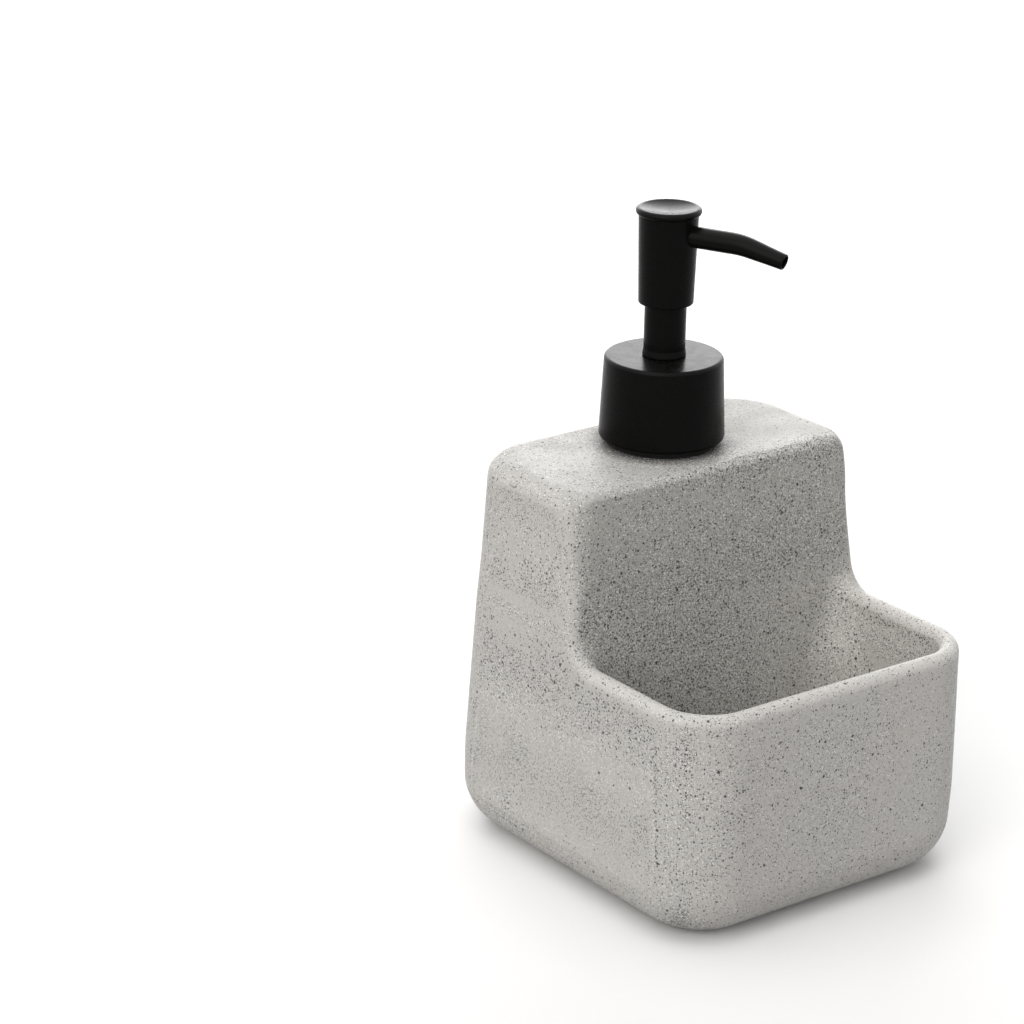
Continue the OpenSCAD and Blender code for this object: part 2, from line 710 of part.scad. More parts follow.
// A ring of points of radius r about one of those points, square to the axis
function spout_ring(p, r) = [for (k = [0:spout_sides - 1]) let (b = 360 * k / spout_sides)
    [p[0] + r * cos(b) * sin(p[2]), r * sin(b), p[1] + r * cos(b) * cos(p[2])]];

// Bent metal spout, tapered past its bend
module spout() {
    bore_r = spout_tip_r - spout_wall;
    path = spout_axis();
    n = len(path);
    rings = concat(
        [for (p = path) spout_ring(p, p[3])],
        [for (i = [n - 1:-1:0]) spout_ring(path[i], bore_r)]);
    points = [for (r = rings, p = r) p];
    count = len(rings);
    faces = [for (i = [0:count - 1], k = [0:spout_sides - 1], half = [0, 1])
        let (a = i * spout_sides + k, b = i * spout_sides + (k + 1) % spout_sides,
            c = ((i + 1) % count) * spout_sides + k,
            d = ((i + 1) % count) * spout_sides + (k + 1) % spout_sides)
        half == 0 ? [a, b, d] : [a, d, c]];
    color([0.1, 0.1, 0.1]) along_spout() polyhedron(points = points, faces = faces);
}

ceramic_body();
neck_insert();
insert_gasket();
neck_gasket();
closure_nut();
collar_sleeve();
neck_sleeve();
stem_guide();
pump_housing();
dip_tube();
ball_retainer();
inlet_ball();
return_spring();
lower_stem();
piston();
stem();
head_core();
head_shell();
head_cap();
spout();
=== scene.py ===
"""Looks of a speckled stoneware soap dispenser with a sponge tray and a black pump, round its CAD frame.

Shapes are worked out in millimetres, in the frame of the CAD part, and put in the scene in metres.
"""

import math

import bmesh
import bpy
import numpy as np
from mathutils import Matrix, Vector


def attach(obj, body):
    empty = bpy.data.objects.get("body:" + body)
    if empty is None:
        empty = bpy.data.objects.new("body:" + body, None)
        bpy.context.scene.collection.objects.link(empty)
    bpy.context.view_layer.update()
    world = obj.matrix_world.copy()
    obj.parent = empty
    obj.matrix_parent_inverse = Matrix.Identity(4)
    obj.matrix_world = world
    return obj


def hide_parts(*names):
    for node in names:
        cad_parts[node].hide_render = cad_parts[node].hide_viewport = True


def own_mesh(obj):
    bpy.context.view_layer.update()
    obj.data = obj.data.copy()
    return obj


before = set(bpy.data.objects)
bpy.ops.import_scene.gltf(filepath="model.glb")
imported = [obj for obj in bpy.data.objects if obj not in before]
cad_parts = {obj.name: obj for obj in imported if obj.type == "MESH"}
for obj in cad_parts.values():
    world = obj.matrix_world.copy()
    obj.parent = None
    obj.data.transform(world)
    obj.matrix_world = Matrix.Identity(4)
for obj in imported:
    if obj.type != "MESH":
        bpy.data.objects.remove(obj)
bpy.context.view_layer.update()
MM = 0.001

# The stoneware body, as in the CAD part
BODY_W, BODY_D, BODY_H = 112.0, 120.4, 120.8
RIM_H = 71.7
CORNER_R = 19.5
FOOT_R = 14.5
SIDE_DRAFT, BACK_DRAFT, FRONT_DRAFT, TOWER_DRAFT, TRAY_DRAFT = 0.8, 4.4, 0.1, 2.6, 2.4
TOWER_TOP_D = 52.8
LIP_W = 6.0
TRAY_FLOOR, TRAY_FLOOR_R, TRAY_CORNER_R = 9.0, 8.0, 13.0
RESERVOIR_WALL, RESERVOIR_ROOF, RESERVOIR_BASE, RESERVOIR_R = 5.0, 6.5, 7.0, 8.0
MOUTH_R = 14.2
RECESS_DEPTH, RECESS_R = 1.6, 9.75
FOOT_LAND = 6.0

# Where the mouth starts inside the reservoir, the rounding of its lower edge, and that of its upper edge
# and of the foot recess
MOUTH_LOW, MOUTH_EDGE_R, INNER_EDGE_R = 105.0, 1.0, 0.8

# Softer forms of the fired clay, beyond the CAD part. A pair of heights runs from no effect to full effect
FOOT_EDGE_R = FOOT_R + 1
FOOT_CORNER_EXTRA, FOOT_CORNER_HEIGHTS = 3.0, (30, 3)
WAIST, WAIST_HEIGHTS = 0.5, (72, 90)
HOLLOW_R, HOLLOW_EXTRA, HOLLOW_WIDENS, HOLLOW_NARROWS = 8.0, 7.0, (9, 40), (50, 70)
TOWER_CORNER_R = 10.2
LOW_CORNER_SHARE, LOW_CORNER_HEIGHTS, HIGH_CORNER_HEIGHTS = 0.6, (74, 104), (106, 122)

# The tower's top edge is rounder at its sides and back than at its front. It changes over the pair, which
# is how many millimetres nearer the walls are than the tower's front
TOP_EDGE_R, FRONT_EDGE_R, TOP_EDGE_GROWS = 6.2, 2.7, (-8, 2)

# The grid in which the stoneware's surface is found
GRID_LOW, GRID_HIGH, GRID_SIZE = (-58.1, -62.3, -2.3), (58.1, 62.3, 123.0), 1.1

# The pump's axis and heights on it
PUMP_Y = 25.621
Z_FLANGE, Z_FINISH, Z_NECK_RIM = 121.4, 123.2, 139.2
Z_COLLAR, Z_COLLAR_TOP = 122.8, 147.8
Z_NECK, Z_NECK_TOP = 148.0, 167.0
Z_HEAD, Z_HEAD_TOP, Z_SPOUT = 164.0, 190.9, 185.3
SPOUT_TURN = 24.0


def tan(degrees):
    return math.tan(math.radians(degrees))


# Stoneware shape


def half_width(z):
    """The sides lean in, and those of the tower stand in a little more."""
    return BODY_W / 2 - np.maximum(z - FOOT_R, 0) * tan(SIDE_DRAFT) - WAIST * step(*WAIST_HEIGHTS, z)


def back_y(z):
    return BODY_D / 2 - np.maximum(z - FOOT_R, 0) * tan(BACK_DRAFT)


def front_y(z):
    return -BODY_D / 2 + np.maximum(z - FOOT_R, 0) * tan(FRONT_DRAFT)


def tower_y(z):
    return back_y(BODY_H) - TOWER_TOP_D - (BODY_H - z) * tan(TOWER_DRAFT)


def step(a, b, t):
    """Rises smoothly from 0 at a to 1 at b."""
    u = np.clip((t - a) / (b - a), 0, 1)
    return u * u * (3 - 2 * u)


def both(a, b, r):
    """The space that a and b share, with its edge rounded by r. Distances are negative inside."""
    return np.minimum(np.maximum(a, b), -r) + np.hypot(np.maximum(a + r, 0), np.maximum(b + r, 0))


def either(a, b, r):
    """The two spaces joined, with the hollow between them filled to radius r."""
    return -both(-a, -b, r)


def round_plan(x, y, half_x, y0, y1, r):
    """Distance to a rectangle in plan, from y0 to y1, with corners of radius r."""
    qx = np.abs(x) - half_x + r
    qy = np.abs(y - (y0 + y1) / 2) - (y1 - y0) / 2 + r
    return np.minimum(np.maximum(qx, qy), 0) + np.hypot(np.maximum(qx, 0), np.maximum(qy, 0)) - r


def tray_space(x, y, z):
    """The sponge tray's hollow, open towards the tower."""
    top = RIM_H - LIP_W / 2
    inset = LIP_W + (top - z) * tan(TRAY_DRAFT)
    far_back = 3 * BODY_D
    plan = round_plan(x, y, half_width(top) - inset, front_y(top) + inset, far_back, TRAY_CORNER_R)
    return both(plan, TRAY_FLOOR - z, TRAY_FLOOR_R)


def reservoir_space(x, y, z):
    """The soap's space in the tower, and the mouth in its roof."""
    half_x = half_width(z) - RESERVOIR_WALL
    y0, y1 = tower_y(z) + RESERVOIR_WALL, back_y(z) - RESERVOIR_WALL
    plan = round_plan(x, y, half_x, y0, y1, RESERVOIR_R)
    room = both(both(plan, RESERVOIR_BASE - z, RESERVOIR_R), z - BODY_H + RESERVOIR_ROOF, RESERVOIR_R)
    mouth = np.maximum(np.hypot(x, y - PUMP_Y) - MOUTH_R, MOUTH_LOW - z)
    return either(room, mouth, MOUTH_EDGE_R)


def foot_recess(x, y, z):
    """The shallow recess under the body, which leaves a flat ring to stand on."""
    inset = FOOT_R + FOOT_LAND
    plan = round_plan(x, y, BODY_W / 2 - inset, -BODY_D / 2 + inset, BODY_D / 2 - inset, RECESS_R)
    return np.maximum(plan, z - RECESS_DEPTH)


def stoneware(p):
    """Signed distance to the fired body's surface, negative in the clay, at points p in millimetres."""
    x, y, z = p[..., 0], p[..., 1], p[..., 2]
    wall_r = CORNER_R + FOOT_CORNER_EXTRA * step(*FOOT_CORNER_HEIGHTS, z)
    walls = both(round_plan(x, y, half_width(z), front_y(z), back_y(z), wall_r), -z, FOOT_EDGE_R)
    rim = both(-tray_space(x, y, z), z - RIM_H, LIP_W / 2)
    tower = (tower_y(z) - y) * math.cos(math.radians(TOWER_DRAFT))
    hollow_r = HOLLOW_R + HOLLOW_EXTRA * (step(*HOLLOW_WIDENS, z) - step(*HOLLOW_NARROWS, z))
    low, high = step(*LOW_CORNER_HEIGHTS, z), step(*HIGH_CORNER_HEIGHTS, z)
    corner_share = LOW_CORNER_SHARE * low + (1 - LOW_CORNER_SHARE) * high
    edge_r = LIP_W / 2 + (TOWER_CORNER_R - LIP_W / 2) * corner_share
    body = both(either(tower, rim, hollow_r), walls, edge_r)
    top_r = FRONT_EDGE_R + (TOP_EDGE_R - FRONT_EDGE_R) * step(*TOP_EDGE_GROWS, walls - tower)
    body = both(body, z - BODY_H, top_r)
    body = both(body, -reservoir_space(x, y, z), INNER_EDGE_R)
    return both(body, -foot_recess(x, y, z), INNER_EDGE_R)


def slope(shape, p, e=0.02):
    """Gradient of a distance function."""
    g = np.empty_like(p)
    for k in range(3):
        d = np.zeros(3)
        d[k] = e
        g[..., k] = (shape(p + d) - shape(p - d)) / (2 * e)
    return g


def crossing_points(value, grid, size, cells):
    """One point in each grid cell that the surface crosses, and the number of each cell's point, or -1."""

    def at(array, c):
        return array[c[0] : c[0] + cells[0], c[1] : c[1] + cells[1], c[2] : c[2] + cells[2]]

    corners = [(i, j, k) for i in (0, 1) for j in (0, 1) for k in (0, 1)]
    count = sum(at(value < 0, c).astype(np.int8) for c in corners)
    active = (count > 0) & (count < len(corners))
    number = np.full(cells, -1, np.int64)
    number[active] = np.arange(active.sum())
    total, found = np.zeros((active.sum(), 3)), np.zeros(active.sum())
    for c in corners:
        for k in range(3):
            if c[k] == 0:
                d = tuple(v + (n == k) for n, v in enumerate(c))
                a, b = at(value, c)[active], at(value, d)[active]
                crosses = (a < 0) != (b < 0)
                t = np.where(crosses, a / np.where(crosses, a - b, 1), 0)
                pa = at(grid, c)[active]
                pa[:, k] += t * size
                total += pa * crosses[:, None]
                found += crosses
    return total / found[:, None], number


def surface_net(shape, low, high, size):
    """Quad mesh of a distance function's zero level: one quad for each grid edge that it crosses."""
    axes = [np.arange(a, b + size, size) for a, b in zip(low, high)]
    grid = np.stack(np.meshgrid(*axes, indexing="ij"), -1)
    value = shape(grid)
    inside = value < 0
    points, number = crossing_points(value, grid, size, tuple(n - 1 for n in value.shape))
    quads = []
    for k in range(3):
        u, v = (k + 1) % 3, (k + 2) % 3
        here = [slice(1, n - 1) for n in value.shape]
        here[k] = slice(0, value.shape[k] - 1)
        there = list(here)
        there[k] = slice(1, value.shape[k])
        a, b = inside[tuple(here)], inside[tuple(there)]
        where = np.argwhere(a != b) + np.array([s.start for s in here])
        outward_here = a[a != b]
        ring = []
        for du, dv in ((-1, -1), (0, -1), (0, 0), (-1, 0)):
            q = where.copy()
            q[:, u] += du
            q[:, v] += dv
            ring.append(number[tuple(q.T)])
        ring = np.stack(ring, 1)
        ring[~outward_here] = ring[~outward_here][:, ::-1]
        quads.append(ring)
    return points, np.concatenate(quads)


def settle(shape, points, steps=5, reach=0.5, flattest=0.2):
    """Moves points on to the zero level, by at most reach in each step."""
    for _ in range(steps):
        g = slope(shape, points)
        move = shape(points)[:, None] * g / np.maximum((g * g).sum(1), flattest)[:, None]
        points = points - np.clip(move, -reach, reach)
    return points


def mesh_from(name, points, faces):
    """An object with a smooth-shaded mesh, from points in millimetres."""
    mesh = bpy.data.meshes.new(name)
    mesh.from_pydata((np.asarray(points) * MM).tolist(), [], [[int(v) for v in face] for face in faces])
    mesh.polygons.foreach_set("use_smooth", [True] * len(mesh.polygons))
    mesh.update()
    obj = bpy.data.objects.new(name, mesh)
    bpy.context.scene.collection.objects.link(obj)
    return obj


def build_stoneware():
    points, quads = surface_net(stoneware, GRID_LOW, GRID_HIGH, GRID_SIZE)
    points = settle(stoneware, points)
    body = mesh_from("stoneware_body", points, quads)
    normals = slope(stoneware, points)
    normals /= np.linalg.norm(normals, axis=1)[:, None]
    body.data.normals_split_custom_set_from_vertices(normals.tolist())
    return body


# Turned and swept pieces


def rounded(profile, arc_steps=5):
    """Points of a closed outline whose corners (r, z, fillet) are rounded."""
    out = []
    count = len(profile)
    most_of_side = 0.49
    for i, (x, z, fillet) in enumerate(profile):
        here = np.array([x, z], float)
        before = np.array(profile[i - 1][:2], float) - here
        after = np.array(profile[(i + 1) % count][:2], float) - here
        if fillet <= 0:
            out.append(here)
            continue
        lb, la = np.linalg.norm(before), np.linalg.norm(after)
        before, after = before / lb, after / la
        half = math.acos(max(-1.0, min(1.0, float(before @ after)))) / 2
        cut = min(fillet / math.tan(half), most_of_side * lb, most_of_side * la)
        r = cut * math.tan(half)
        centre = here + (before + after) / np.linalg.norm(before + after) * r / math.sin(half)
        a, b = here + before * cut - centre, here + after * cut - centre
        start, sweep = math.atan2(a[1], a[0]), math.atan2(b[1], b[0]) - math.atan2(a[1], a[0])
        sweep = (sweep + math.pi) % (2 * math.pi) - math.pi
        for s in range(arc_steps + 1):
            t = start + sweep * s / arc_steps
            out.append(centre + r * np.array([math.cos(t), math.sin(t)]))
    return out


def sharpen(obj, degrees=32):
    """Sharp edges where faces meet at more than that angle, flat faces kept flat."""
    obj.data.set_sharp_from_angle(angle=math.radians(degrees))
    weighted = obj.modifiers.new("weighted", "WEIGHTED_NORMAL")
    weighted.keep_sharp = True
    return obj


def turned(name, profile, sides=112):
    """A closed solid of revolution about the pump's axis. An outline that ends on the axis closes there."""
    points, rows = [], []
    on_axis = 1e-6
    for r, z in rounded(profile):
        if r < on_axis:
            rows.append([len(points)] * sides)
            points.append((0, PUMP_Y, z))
        else:
            rows.append(range(len(points), len(points) + sides))
            for a in angles(sides):
                points.append((r * math.cos(a), PUMP_Y + r * math.sin(a), z))
    faces = []
    for i, row in enumerate(rows):
        following = rows[(i + 1) % len(rows)]
        if row[0] == row[1] and following[0] == following[1]:
            continue
        for k in range(sides):
            n = (k + 1) % sides
            face = [row[k], row[n], following[n], following[k]]
            faces.append([v for j, v in enumerate(face) if v != face[j - 1]])
    return sharpen(mesh_from(name, points, faces))


def angles(sides):
    return [2 * math.pi * k / sides for k in range(sides)]


def ring_faces(rings, sides, looped=False):
    """Quads between rings of points, with the last ring joined to the first or else both ends closed."""
    faces = []
    for i in range(rings if looped else rings - 1):
        here, there = i * sides, (i + 1) % rings * sides
        for k in range(sides):
            n = (k + 1) % sides
            faces.append([here + k, here + n, there + n, there + k])
    if not looped:
        faces.append(list(range(sides)))
        faces.append([(rings - 1) * sides + k for k in reversed(range(sides))])
    return faces


def outward(obj):
    """Turns the faces of a closed mesh outward."""
    bm = bmesh.new()
    bm.from_mesh(obj.data)
    bmesh.ops.recalc_face_normals(bm, faces=bm.faces)
    bm.to_mesh(obj.data)
    bm.free()
    return obj


def rod(name, start, end, r, sides=48):
    """A closed cylinder between two points."""
    start, end = Vector(start), Vector(end)
    along = (end - start).normalized()
    across = along.orthogonal().normalized()
    side = along.cross(across)
    circle = [r * (math.cos(a) * across + math.sin(a) * side) for a in angles(sides)]
    points = [tuple(centre + out) for centre in (start, end) for out in circle]
    return outward(mesh_from(name, points, ring_faces(2, sides)))


def helix(name, turns, steps, sides, section):
    """A closed body along a helix. section(s, b) is the radius and height at share s of the way, angle b."""
    points = []
    for i in range(steps + 1):
        s = i / steps
        a = 2 * math.pi * turns * s
        for b in angles(sides):
            r, z = section(s, b)
            points.append((r * math.cos(a), PUMP_Y + r * math.sin(a), z))
    return outward(mesh_from(name, points, ring_faces(steps + 1, sides)))


def cut_away(obj, cutter):
    """Takes the cutter's space out of obj and removes the cutter."""
    change = obj.modifiers.new("cut", "BOOLEAN")
    change.operation = "DIFFERENCE"
    change.solver = "EXACT"
    change.object = cutter
    bpy.context.view_layer.update()
    made = bpy.data.meshes.new_from_object(obj.evaluated_get(bpy.context.evaluated_depsgraph_get()))
    obj.modifiers.clear()
    obj.data = made
    bpy.data.objects.remove(cutter)
    return obj


def join(objs):
    """One object from several, under the first one's name."""
    bm = bmesh.new()
    for o in objs:
        bm.from_mesh(o.data)
    bm.to_mesh(objs[0].data)
    bm.free()
    for o in objs[1:]:
        bpy.data.objects.remove(o)
    objs[0].data.polygons.foreach_set("use_smooth", [True] * len(objs[0].data.polygons))
    return sharpen(objs[0])


# Spout: radius at the head and at the tip, bore, then where it starts, bends and ends
SPOUT_R, SPOUT_TIP_R, SPOUT_BORE_R = 3.2, 2.4, 1.8
SPOUT_SEAT, SPOUT_STRAIGHT, SPOUT_BEND_R, SPOUT_BEND, SPOUT_END = 4.6, 20.5, 28.0, 13.0, 11.0
SPOUT_LENGTH = SPOUT_STRAIGHT + SPOUT_BEND_R * math.radians(SPOUT_BEND) + SPOUT_END
SPOUT_TAPER_GAIN, SPOUT_TAPER_BEFORE, SPOUT_TAPER_PAST = 1.12, 1.0, 4.0
SPOUT_ROUND = 0.35


def on_spout(along, across, up):
    """A point by its place along the spout's direction, across it, and above its axis at the head."""
    a = math.radians(SPOUT_TURN - 90)
    return (
        along * math.cos(a) - across * math.sin(a),
        PUMP_Y + along * math.sin(a) + across * math.cos(a),
        Z_SPOUT + up,
    )


def spout_point(s):
    """Point at distance s along the spout's centre line."""
    bend = math.radians(SPOUT_BEND)
    arc = SPOUT_BEND_R * bend
    turn = min(max(s - SPOUT_STRAIGHT, 0) / arc, 1) * bend
    rest = max(s - SPOUT_STRAIGHT - arc, 0)
    along = min(s, SPOUT_STRAIGHT) + SPOUT_BEND_R * math.sin(turn) + rest * math.cos(bend)
    down = SPOUT_BEND_R * (1 - math.cos(turn)) + rest * math.sin(bend)
    return on_spout(along, 0, -down)


def spout_radius(s):
    """Outside radius at distance s. The taper would end past the tip, so the tube still narrows there."""
    share = float(step(SPOUT_STRAIGHT - SPOUT_TAPER_BEFORE, SPOUT_LENGTH + SPOUT_TAPER_PAST, s))
    return SPOUT_R - (SPOUT_R - SPOUT_TIP_R) * share * SPOUT_TAPER_GAIN


def build_spout():
    """The tapered outside, the rounded lip of the tip and the bore, as one closed skin of rings."""
    outside_steps, lip_steps = 44, 8
    outside_end, bore_end, bore_middle = SPOUT_LENGTH - SPOUT_ROUND, SPOUT_LENGTH - 0.6, SPOUT_LENGTH - 8
    rings = []
    for i in range(outside_steps + 1):
        s = SPOUT_SEAT + (outside_end - SPOUT_SEAT) * i / outside_steps
        rings.append((spout_point(s), spout_radius(s)))
    lip = (spout_radius(SPOUT_LENGTH) - SPOUT_BORE_R) / 2
    for k in range(1, lip_steps):
        a = math.pi * k / lip_steps
        s = outside_end + SPOUT_ROUND * math.sin(a)
        rings.append((spout_point(s), SPOUT_BORE_R + lip + lip * math.cos(a)))
    for s in (bore_end, bore_middle, SPOUT_STRAIGHT, SPOUT_SEAT):
        rings.append((spout_point(s), SPOUT_BORE_R))
    return spout_skin("spout_tube", rings)


def spout_skin(name, rings, sides=48):
    """A closed skin over rings (centre, radius) square to the spout's line, the last joined to the first."""
    start, upright = Vector(on_spout(0, 0, 0)), Vector((0, 0, 1))
    direction = Vector(on_spout(1, 0, 0)) - start
    across = upright.cross(direction).normalized()
    steepest = math.sin(math.radians(SPOUT_BEND))
    points = []
    for centre, r in rings:
        along = (Vector(centre) - start).dot(direction)
        turn = math.asin(min(max((along - SPOUT_STRAIGHT) / SPOUT_BEND_R, 0), steepest))
        up = upright * math.cos(turn) + direction * math.sin(turn)
        for a in angles(sides):
            points.append(tuple(Vector(centre) + r * (math.cos(a) * up + math.sin(a) * across)))
    return sharpen(outward(mesh_from(name, points, ring_faces(len(rings), sides, looped=True))))


def build_collar():
    """The metal cover over the screw cap, tapered, with a soft upper edge."""
    wall, bevel, foot_inset, roof = 1.1, 0.9, 0.25, 2.35
    outer, top, bore = 18.8, 17.7, 4.9
    inner_low, inner_high = outer - wall, top - wall + 0.1
    profile = [
        (inner_low, Z_COLLAR, 0.2),
        (outer - foot_inset, Z_COLLAR, 0.5),
        (outer, Z_COLLAR + bevel, 0.8),
        (top, Z_COLLAR_TOP, 1.15),
        (bore, Z_COLLAR_TOP, 0.3),
        (bore, Z_COLLAR_TOP - roof, 0),
        (inner_high, Z_COLLAR_TOP - roof, 0),
    ]
    return turned("collar", profile)


def build_neck():
    """The tube between the collar and the head, flared a little at its foot."""
    foot, r, bore = 6.5, 6.2, 4.75
    bead_h, flare_h, end_bevel, end_inset = 0.5, 2.2, 0.3, 0.5
    profile = [
        (bore, Z_NECK, 0),
        (foot, Z_NECK, 0.15),
        (foot - 0.05, Z_NECK + bead_h, 0.6),
        (r, Z_NECK + flare_h, 1.6),
        (r, Z_NECK_TOP - end_bevel, 0.5),
        (r - end_inset, Z_NECK_TOP, 0.2),
        (bore, Z_NECK_TOP, 0),
    ]
    return turned("neck_tube", profile, sides=96)


def build_head_shell():
    """The head's shell, with the hole that the spout comes out of."""
    low, high, bore, bevel = 8.15, 8.85, 7.0, 0.2
    hole_from, hole_to, hole_gap = 5.0, 12.0, 0.06
    profile = [
        (bore, Z_HEAD + bevel, 0.2),
        (low, Z_HEAD, 1.1),
        (high, Z_HEAD_TOP, 0.15),
        (bore, Z_HEAD_TOP, 0),
    ]
    shell = turned("head_shell_turned", profile, sides=96)
    shell.modifiers.clear()
    cutter = rod("cutter", on_spout(hole_from, 0, 0), on_spout(hole_to, 0, 0), SPOUT_R + hole_gap)
    return sharpen(cut_away(outward(shell), cutter))


def build_cap():
    """The dished cap with a rolled rim, plugged in the head."""
    r, bead, dish, plug, bore = 9.7, 1.15, 1.1, 1.2, 6.95
    roll_from, roll, roll_steps, dish_steps, dish_power = -62, 172, 14, 24, 0.9
    profile = [(0, Z_HEAD_TOP - plug, 0), (bore, Z_HEAD_TOP - plug, 0.2), (bore, Z_HEAD_TOP, 0)]
    for i in range(roll_steps + 1):
        a = math.radians(roll_from + roll * i / roll_steps)
        profile.append((r - bead + bead * math.cos(a), Z_HEAD_TOP + bead + bead * math.sin(a), 0))
    x0, z0 = profile[-1][:2]
    for i in range(1, dish_steps + 1):
        x = x0 * (1 - i / dish_steps)
        profile.append((x, z0 - dish * (1 - (x / x0) ** 2) ** dish_power, 0))
    return turned("press_cap", profile, sides=96)


# Inner pieces


def build_insert():
    """The neck piece: its plug in the mouth, the flange on the roof, and the finish with its round thread."""
    bore, plug_r, flange_r, finish_r, plug_h = 11.2, 13.95, 16.8, 13.1, 14.0
    profile = [
        (bore, Z_FLANGE - plug_h, 0.3),
        (plug_r, Z_FLANGE - plug_h, 0.8),
        (plug_r, Z_FLANGE, 0),
        (flange_r, Z_FLANGE, 0.3),
        (flange_r, Z_FINISH, 0.5),
        (finish_r, Z_FINISH, 0.4),
        (finish_r, Z_NECK_RIM, 0.6),
        (bore, Z_NECK_RIM, 0.4),
    ]
    finish = turned("threaded_neck", profile)
    finish.modifiers.clear()
    turns, steps_per_turn, thread_sides = 2.5, 72, 8
    root_r, depth, half_h, buried_share = 13.05, 0.8, 0.75, -0.25
    z0, z1 = Z_FINISH + 3.2, Z_NECK_RIM - 2.6
    run_out, end_swell = 10, 0.02

    def section(s, b):
        """The ridge swells over a tenth of its way at each end."""
        swell = min(1.0, s * run_out, (1 - s) * run_out) ** 0.5 if 0 < s < 1 else end_swell
        r = root_r + depth * swell * max(math.cos(b), buried_share)
        return r, z0 + (z1 - z0) * s + half_h * swell * math.sin(b)

    thread = helix("threaded_neck_thread", turns, int(steps_per_turn * turns), thread_sides, section)
    return join([finish, thread])


def gasket(name, inner, outer, low, high, inner_edge, outer_edge):
    """A flat ring with rounded edges."""
    profile = [
        (inner, low, inner_edge),
        (outer, low, outer_edge),
        (outer, high, outer_edge),
        (inner, high, inner_edge),
    ]
    return turned(name, profile)


def build_flange_gasket():
    """The ring between the stoneware's roof and the neck piece's flange."""
    return gasket("flange_gasket", 14.45, 16.6, BODY_H, Z_FLANGE, inner_edge=0.1, outer_edge=0.25)


def build_rim_gasket():
    """The ring between the neck piece's rim and the pump's flange."""
    return gasket("rim_gasket", 11.2, 12.9, Z_NECK_RIM, Z_NECK_RIM + 1, inner_edge=0.2, outer_edge=0.3)


def build_ball():
    """The ball of the pump's inlet valve, turned from a half circle whose ends are put right on the axis."""
    r, z, steps = 2.5, 88.633, 32
    half_circle = [math.pi * i / steps for i in range(steps + 1)]
    profile = [(r * math.sin(a), z - r * math.cos(a), 0) for a in half_circle]
    profile[0] = (0, z - r, 0)
    profile[-1] = (0, z + r, 0)
    return turned("steel_ball", profile, sides=48)


def build_barrel():
    """The pump's barrel with its flange, its inlet and the dip tube's socket."""
    z_flange, flange_t, z_floor, z_low = 140.2, 1.8, 87.4, 85.2
    bore, outer, hip, flange_r = 6.6, 7.7, 8.4, 12.8
    seat_r, inlet_r, seat_h = 2.3, 1.7, 0.6
    socket_bore, socket_r, socket_h = 3.55, 4.75, 10.0
    shoulder_r, shoulder_drop, shoulder_h, hip_low, hip_high = 7.4, 0.6, 2.0, 3.2, 2.4
    profile = [
        (bore, z_floor, 0.4),
        (seat_r, z_floor, 0.2),
        (inlet_r, z_floor - seat_h, 0.1),
        (inlet_r, z_low, 0),
        (socket_bore, z_low, 0),
        (socket_bore, z_low - socket_h, 0.2),
        (socket_r, z_low - socket_h, 0.5),
        (socket_r, z_low - shoulder_drop, 0.8),
        (shoulder_r, z_low, 0.8),
        (outer, z_low + shoulder_h, 0.6),
        (outer, z_flange - hip_low, 1.0),
        (hip, z_flange - hip_high, 0.6),
        (hip, z_flange, 0.5),
        (flange_r, z_flange, 0.5),
        (flange_r, z_flange + flange_t, 0.5),
        (bore, z_flange + flange_t, 0.3),
    ]
    return turned("pump_barrel", profile, sides=80)


def build_dip_tube():
    """The tube to the bottom of the reservoir, cut slantwise at its end."""
    r, bore, low, high, slant = 3.5, 2.5, 10.5, 85.15, 30.0
    sides, steps, edge = 56, 20, 0.15
    rings = [(bore + edge, 0, 0), (r - edge, 0, 0), (r, 0, edge)]
    rings += [(r, i / steps, edge) for i in range(1, steps + 1)]
    rings += [(bore, i / steps, edge) for i in range(steps, -1, -1)]
    points = []
    for radius, share, lift in rings:
        for a in angles(sides):
            x = radius * math.cos(a)
            foot = low + (r - x) * tan(slant) + lift
            points.append((x, PUMP_Y + radius * math.sin(a), foot + (high - foot) * share))
    return sharpen(outward(mesh_from("dip_tube_cut", points, ring_faces(len(rings), sides, looped=True))))


# The return spring: where it stands, its top at rest, and how far the pump's stroke presses it
Z_SPRING, Z_SPRING_TOP, STROKE = 93.633, 114.5, 13.0


def build_spring():
    """Round wire in seven turns, the end turns laid nearly flat."""
    coil_r, wire_r, turns, sides, steps_per_turn, sharp_degrees = 4.5, 0.45, 7, 10, 36, 50
    flat_turns, flat_share = 0.8, 0.06
    rise = Z_SPRING_TOP - Z_SPRING - 2 * wire_r
    stops, shares = [0, flat_turns, turns - flat_turns, turns], [0, flat_share, 1 - flat_share, 1]

    def section(s, b):
        share = float(np.interp(turns * s, stops, shares))
        return coil_r + wire_r * math.cos(b), Z_SPRING + wire_r + rise * share + wire_r * math.sin(b)

    spring = helix("coil_spring", turns, steps_per_turn * turns, sides, section)
    spring.data.set_sharp_from_angle(angle=math.radians(sharp_degrees))
    return spring


# Materials


